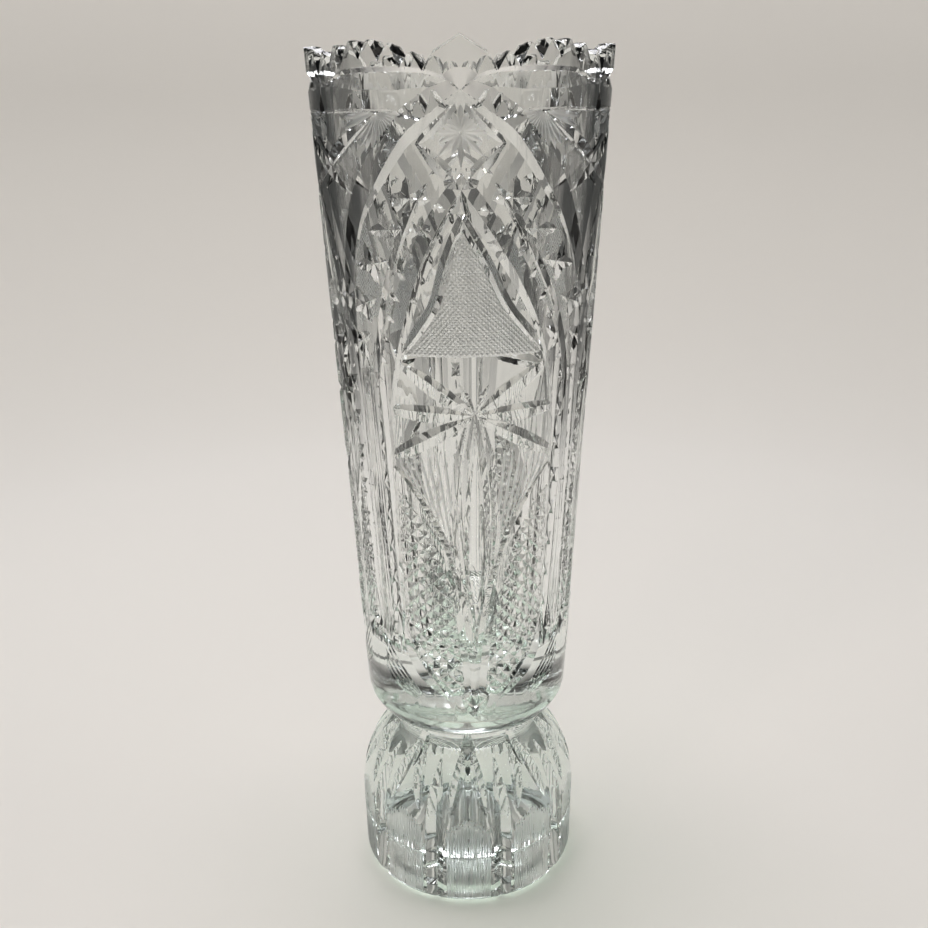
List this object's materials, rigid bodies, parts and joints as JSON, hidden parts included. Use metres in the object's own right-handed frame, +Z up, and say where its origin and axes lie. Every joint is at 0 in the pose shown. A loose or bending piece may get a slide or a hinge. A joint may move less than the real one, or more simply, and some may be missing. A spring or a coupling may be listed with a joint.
{
  "type": "flower vase",
  "caption": "Tall footed flower vase of cut crystal: a tapered bowl with a toothed rim and pointed-arch cuts, seated on a lobed foot.",
  "frame": {"origin": "centre of the foot's rest face, on the surface that the vase stands on", "axes": "+Z up along the vase's axis, -Y towards the front panel and its gable, +X to the right of someone facing that panel"},
  "size_m": [0.1146, 0.1145, 0.35],
  "materials": {
    "crystal": "polished"
  },
  "bodies": {
    "root": {"bowl": "crystal", "foot": "crystal"}
  },
  "joints": []
}
